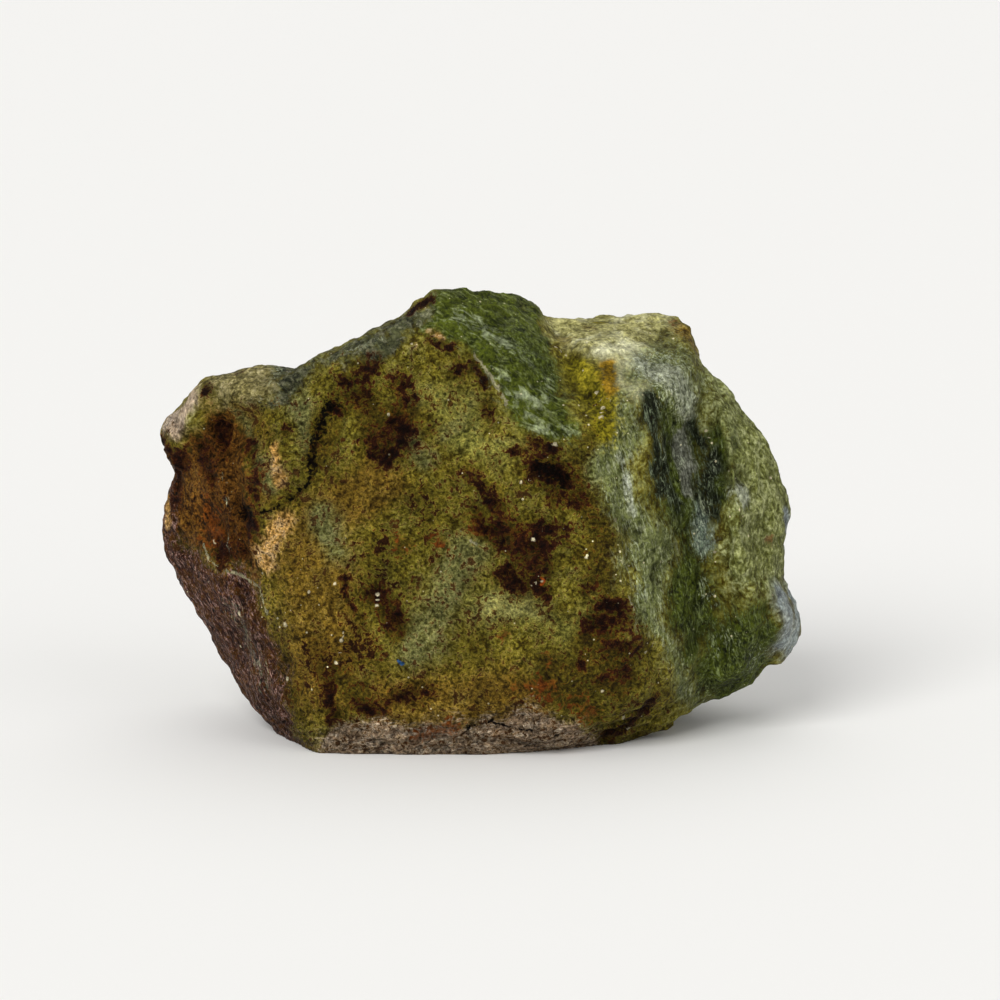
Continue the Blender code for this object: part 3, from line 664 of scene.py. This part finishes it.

# Sand, and painted glints off tiny crystal faces: one grain to a cell of 0.8 mm, and only the palest cells
# show theirs.
SAND_CELL = 0.8
cell = {"Vector": in_mm, "Scale": 1 / SAND_CELL}
from_grain = add("ShaderNodeTexVoronoi", 0, cell)
paleness = add("ShaderNodeTexVoronoi", 1, cell)
pattern["sand"] = add("ShaderNodeMath", 0, {"Value": from_grain, "Value_001": -2.4, "Value_002": paleness},
                      operation="MULTIPLY_ADD")

# Each kind of stone: its deep, middle and light tone, and the pattern its light tone follows.
STONES = {
    "golden": ("#4b370f", "#7c6420", "#9e8c4c", "mottle"),
    "clean": ("#5c5c26", "#807c38", "#9a9658", "cloud"),
    "milky": ("#54542a", "#747442", "#949264", "mottle"),
    "horn": ("#4f4826", "#80774a", "#a89e78", "mottle"),
    "shade": ("#33260a", "#50460f", "#666a2a", "mottle"),
    "fresh": ("#242b07", "#434b12", "#737b4a", "slanted fibre"),
    "slate": ("#23261a", "#47492f", "#77765c", "slanted fibre"),
    "ochre": ("#1c0c02", "#5a3a12", "#937030", "mottle"),
    "purple": ("#160604", "#3f2216", "#a08074", "flank hatch"),
    # The lobe: pale stone, painted paler still with the light that falls on its top.
    "lobe": ("#78733c", "#a8a36a", "#d4d2aa", "cloud"),
    "right": ("#50521e", "#7a7e48", "#aaac80", "mottle"),
    # Dark green clear stone, with painted shade in the furrow and on the right underside.
    "deep": ("#181e06", "#3c4410", "#6c7648", "upright fibre"),
    "ridge": ("#3e441c", "#666c3e", "#989c78", "upright fibre"),
    "silky": ("#5e6448", "#90947a", "#c4c8b4", "upright fibre"),
    "blue": ("#343e36", "#5e6a5a", "#9ca698", "upright fibre"),
    "lilac": ("#33342a", "#5a5c4e", "#8c8e80", "upright fibre"),
    "window": ("#070903", "#181c0b", "#6e785e", "upright fibre"),
    "amber": ("#433c08", "#746c14", "#968828", "mottle"),
    "orange": ("#5a480c", "#846812", "#a88428", "mottle"),
    "tip": ("#6a7070", "#8c9490", "#b4b8ac", "cloud"),
    "rim": ("#4c3624", "#907c64", "#c6b69e", "layers"),
    "cream": ("#8a6630", "#bc9250", "#e6d2ac", "mottle"),
    "chip": ("#8a7660", "#b09c84", "#cfc0ac", "cloud"),
}
OLIVE_SKIN = ("#443809", "#706820", "#8a8a52", "mottle")
# A noise runs from 0 to 1 with its middle at a half. The middle tone and the light one each
# come in over a span of their pattern.
MIDDLE_FROM, MIDDLE_FULL = 0.4, 0.53
LIGHT_FROM, LIGHT_FULL = 0.5, 0.68


def tones(deep, middle, light, follows):
    """A stone's own colours: mottled deep and middle, with light where its pattern is strong."""
    mottled = add("ShaderNodeMapRange", 0, {"Value": pattern["mottle"], "From Min": MIDDLE_FROM,
                                            "From Max": MIDDLE_FULL})
    body = add("ShaderNodeMix", 2, {"Factor_Float": mottled, "A_Color": linear(deep),
                                    "B_Color": linear(middle)}, data_type="RGBA")
    struck = add("ShaderNodeMapRange", 0, {"Value": pattern[follows], "From Min": LIGHT_FROM,
                                           "From Max": LIGHT_FULL})
    return add("ShaderNodeMix", 2, {"Factor_Float": struck, "A_Color": body, "B_Color": linear(light)},
               data_type="RGBA")


# An edge between two stones runs ragged, along the upper one's own pattern and in flecks.
# EVEN is what both add where they are at their middle.
PATTERN_RAG, FLECK_RAG = 2.0, 1.0
EVEN = (PATTERN_RAG + FLECK_RAG) / 2
colour = tones(*OLIVE_SKIN)
for kind, look in STONES.items():
    ragged = add("ShaderNodeMath", 0, {"Value": pattern[look[-1]], "Value_001": PATTERN_RAG,
                                       "Value_002": mark[kind]}, operation="MULTIPLY_ADD")
    met = add("ShaderNodeMath", 0, {"Value": pattern["fleck"], "Value_001": FLECK_RAG, "Value_002": ragged},
              operation="MULTIPLY_ADD")
    shown = add("ShaderNodeMapRange", 0, {"Value": met, "From Min": EVEN + 0.1, "From Max": EVEN + 0.85})
    kept = add("ShaderNodeMath", 0, {"Value": shown, "Value_001": mark[kind]}, operation="MULTIPLY")
    full = add("ShaderNodeMapRange", 0, {"Value": kept, "From Min": 0.0, "From Max": 0.7})
    colour = add("ShaderNodeMix", 2, {"Factor_Float": full, "A_Color": colour, "B_Color": tones(*look)},
                 data_type="RGBA")

# Over the stone, in this order: a brown film, specks, dirt in the pits, rust, dark stain with
# a paler edge, silky threads, sand with painted glints. Each has its mark, colour, pattern, how far the mark
# lifts the pattern, where it starts to show, where it is full and how much it hides.
SPREAD = (
    ("stained", "#4f360c", "spatter", 0.20, 0.72, 0.84, 0.7),
    ("stained", "#2c1706", "spatter", 0.20, 0.82, 0.86, 0.9),
    ("stained", "#2c1a06", "hairline", 0.10, 0.90, 1.06, 0.7),
    ("speckle", "#442708", "spatter", 0.24, 0.70, 0.80, 0.8),
    ("speckle", "#1c0c03", "spatter", 0.24, 0.80, 0.84, 0.95),
    ("rust", "#5c2f0c", "spatter", 0.30, 0.60, 0.80, 0.75),
    ("stain", "#4a280a", "spatter", 0.30, 0.58, 0.68, 0.75),
    ("stain", "#240d05", "spatter", 0.30, 0.68, 0.73, 0.95),
    ("stain", "#0c0402", "spatter", 0.30, 0.82, 0.90, 0.95),
    ("silk", "#8c9476", "slanted fibre", 0.20, 0.62, 0.90, 0.8),
    ("thread", "#a2aa8c", "upright fibre", 0.20, 0.66, 0.86, 0.8),
    # Pale specks: sand, and painted glints off crystal faces.
    ("sand_and_glint", "#c6bd98", "sand", 0.22, 0.58, 0.72, 1.0),
)
SPREAD_FULL = 0.35
for kind, shade, follows, lift, start, end, most in SPREAD:
    strength = add("ShaderNodeMath", 0, {"Value": mark[kind], "Value_001": lift,
                                         "Value_002": pattern[follows]}, operation="MULTIPLY_ADD")
    shown = add("ShaderNodeMapRange", 0, {"Value": strength, "From Min": start, "From Max": end},
                interpolation_type="SMOOTHSTEP")
    most_here = add("ShaderNodeMapRange", 0, {"Value": mark[kind], "From Max": SPREAD_FULL, "To Max": most})
    hidden = add("ShaderNodeMath", 0, {"Value": shown, "Value_001": most_here}, operation="MULTIPLY")
    colour = add("ShaderNodeMix", 2, {"Factor_Float": hidden, "A_Color": colour, "B_Color": linear(shade)},
                 data_type="RGBA")

# The fine lines and the grains: colour, how finely and how broadly each is broken up, and
# how much it hides. Each ends at one half width, sharp within a quarter of it.
FINE_LOOKS = {
    "crack": ("#0b0402", 4.0, 8.0, 0.95),
    # The pale edges carry a painted highlight along the ridges.
    "pale edge and highlight": ("#9a9474", 3.0, 9.0, 0.8),
    "orange ring": ("#a84e18", 1.5, 0.0, 0.9),
    "lint": ("#244f80", 0.6, 0.0, 0.9),
    "grain": ("#c6bb9a", 3.0, 1.0, 0.95),
}
LINE_OUT, LINE_IN = 1.25, 0.75
for kind, (shade, fine_rag, broad_rag, most) in FINE_LOOKS.items():
    way_to = add("ShaderNodeAttribute", 1, {}, attribute_name=kind)
    off_middle = add("ShaderNodeVectorMath", 1, {"Vector": way_to}, operation="LENGTH")
    broken_up = add("ShaderNodeMath", 0, {"Value": pattern["fleck"], "Value_001": broad_rag,
                                          "Value_002": off_middle}, operation="MULTIPLY_ADD")
    ragged = add("ShaderNodeMath", 0, {"Value": pattern["dust"], "Value_001": fine_rag,
                                       "Value_002": broken_up}, operation="MULTIPLY_ADD")
    half_rag = (fine_rag + broad_rag) / 2
    shown = add("ShaderNodeMapRange", 0, {"Value": ragged, "From Min": LINE_OUT + half_rag,
                                          "From Max": LINE_IN + half_rag, "To Max": most})
    colour = add("ShaderNodeMix", 2, {"Factor_Float": shown, "A_Color": colour, "B_Color": linear(shade)},
                 data_type="RGBA")

# Dust and tiny cracks make every tone flicker, most on the stained skin, less on the cloudy
# clean stone. The pits are painted darker, with dirt and painted shade, and the high spots paler, with
# painted light.
dusted = add("ShaderNodeMapRange", 0, {"Value": pattern["dust"], "From Min": 0.34, "From Max": 0.66,
                                       "To Min": 0.4, "To Max": 1.7})
flecked = add("ShaderNodeMapRange", 0, {"Value": pattern["fleck"], "From Min": 0.34, "From Max": 0.66,
                                        "To Min": 0.6, "To Max": 1.45})
# Painted shade and dirt in the pits, painted light on the high spots.
pit_shade_and_high_light = add("ShaderNodeMapRange", 0, {"Value": mark["pit"], "To Min": 1.85, "To Max": 0.6})
small = add("ShaderNodeMath", 0, {"Value": dusted, "Value_001": flecked}, operation="MULTIPLY")
grimy = add("ShaderNodeMapRange", 0, {"Value": mark["stained"], "To Min": 0.6, "To Max": 1.0})
held = add("ShaderNodeMix", 0, {"Factor_Float": grimy, "A_Float": 1.0, "B_Float": small}, data_type="FLOAT")
depth = add("ShaderNodeMapRange", 0, {"Value": mark["stained"], "To Min": 0.7, "To Max": 1.0})
settled = add("ShaderNodeMath", 0, {"Value": held, "Value_001": depth}, operation="MULTIPLY")
flicker = add("ShaderNodeMath", 0, {"Value": settled, "Value_001": pit_shade_and_high_light}, operation="MULTIPLY")
colour = add("ShaderNodeVectorMath", 0, {"Vector": colour, "Scale": flicker}, operation="SCALE")

# Grit, chips and hairlines too small for the mesh.
grit = add("ShaderNodeMath", 0, {"Value": pattern["dust"], "Value_001": 0.6, "Value_002": pattern["fleck"]},
           operation="MULTIPLY_ADD")
chips = add("ShaderNodeMath", 0, {"Value": pattern["blotch"], "Value_001": 2.6, "Value_002": grit},
            operation="MULTIPLY_ADD")
height = add("ShaderNodeMath", 0, {"Value": pattern["hairline"], "Value_001": -0.15, "Value_002": chips},
             operation="MULTIPLY_ADD")
rugged = add("ShaderNodeMapRange", 0, {"Value": mark["stained"], "To Min": 0.5, "To Max": 1.0})
tilt = add("ShaderNodeBump", 0, {"Strength": rugged, "Distance": 0.5 * MM, "Height": height})
dull = add("ShaderNodeMapRange", 0, {"Value": pattern["fleck"], "From Min": 0.3, "From Max": 0.7,
                                     "To Min": 0.45, "To Max": 0.7})
# Dust dulls the gloss far below that of clean stone, and the light that goes in comes out a
# little greener.
surface = add("ShaderNodeBsdfPrincipled", 0, {
    "Base Color": colour, "Roughness": dull, "Normal": tilt, "IOR": FLUORITE_IOR, "Metallic": 0.0,
    "Specular IOR Level": 0.08, "Subsurface Weight": 0.1, "Subsurface Radius": (1.0, 1.2, 0.6),
    "Subsurface Scale": 0.6 * MM})
add("ShaderNodeOutputMaterial", None, {"Surface": surface})

skin.materials.clear()
skin.materials.append(stone)
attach(lump, "root")
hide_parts("rough_fluorite")


# The table: a matt white laminate top, wide enough that its edge is never seen.
table_mesh = bpy.data.meshes.new("pale_table")
TABLE_HALF = 3.0
table_mesh.from_pydata([(-TABLE_HALF, -TABLE_HALF, 0), (TABLE_HALF, -TABLE_HALF, 0),
                        (TABLE_HALF, TABLE_HALF, 0), (-TABLE_HALF, TABLE_HALF, 0)], [], [(0, 1, 2, 3)])
table = bpy.data.objects.new("pale_table", table_mesh)
bpy.context.scene.collection.objects.link(table)
laminate = bpy.data.materials.new("matt_white_laminate")
laminate.use_nodes = True
top = laminate.node_tree.nodes["Principled BSDF"]
top.inputs["Base Color"].default_value = linear("#f2f1ee")
top.inputs["Roughness"].default_value = 0.8
table_mesh.materials.append(laminate)


# The light: wide soft lamps far off, so that the table is lit evenly, and pale walls all round.
# Each lamp has the side it stands on, its strength and how wide it looks, in degrees.
SOFT_LAMPS = {
    "key": ((-0.55, -1.0, 0.85), 2.1, 35),
    "fill": ((0.9, -0.8, 0.5), 0.5, 50),
    "top": ((0.1, 0.5, 1.0), 0.6, 60),
}
for name, (side, strength, spread) in SOFT_LAMPS.items():
    lamp = bpy.data.lights.new(name, "SUN")
    lamp.angle = math.radians(spread)
    lamp.energy = strength
    stand = bpy.data.objects.new(name, lamp)
    stand.location = side
    stand.rotation_euler = (-Vector(side)).to_track_quat("-Z", "Y").to_euler()
    bpy.context.scene.collection.objects.link(stand)
walls = bpy.data.worlds.new("pale_walls")
walls.use_nodes = True
walls.node_tree.nodes["Background"].inputs["Color"].default_value = linear("#ffffff")
walls.node_tree.nodes["Background"].inputs["Strength"].default_value = 0.42
bpy.context.scene.world = walls
bpy.context.scene.view_settings.view_transform = "Standard"


# The camera: a long lens half a metre away, looking ten degrees down at the stained front.
AIM = Vector((1.73, -3.83, 23.3)) * MM
STAND_OFF = 0.5
LOOK_DOWN = math.radians(10)
lens = bpy.data.cameras.new("camera")
lens.lens = 180
lens.sensor_width = 36
camera = bpy.data.objects.new("camera", lens)
camera.location = AIM + STAND_OFF * Vector((0, -math.cos(LOOK_DOWN), math.sin(LOOK_DOWN)))
camera.rotation_euler = (math.pi / 2 - LOOK_DOWN, 0, 0)
bpy.context.scene.collection.objects.link(camera)
bpy.context.scene.camera = camera
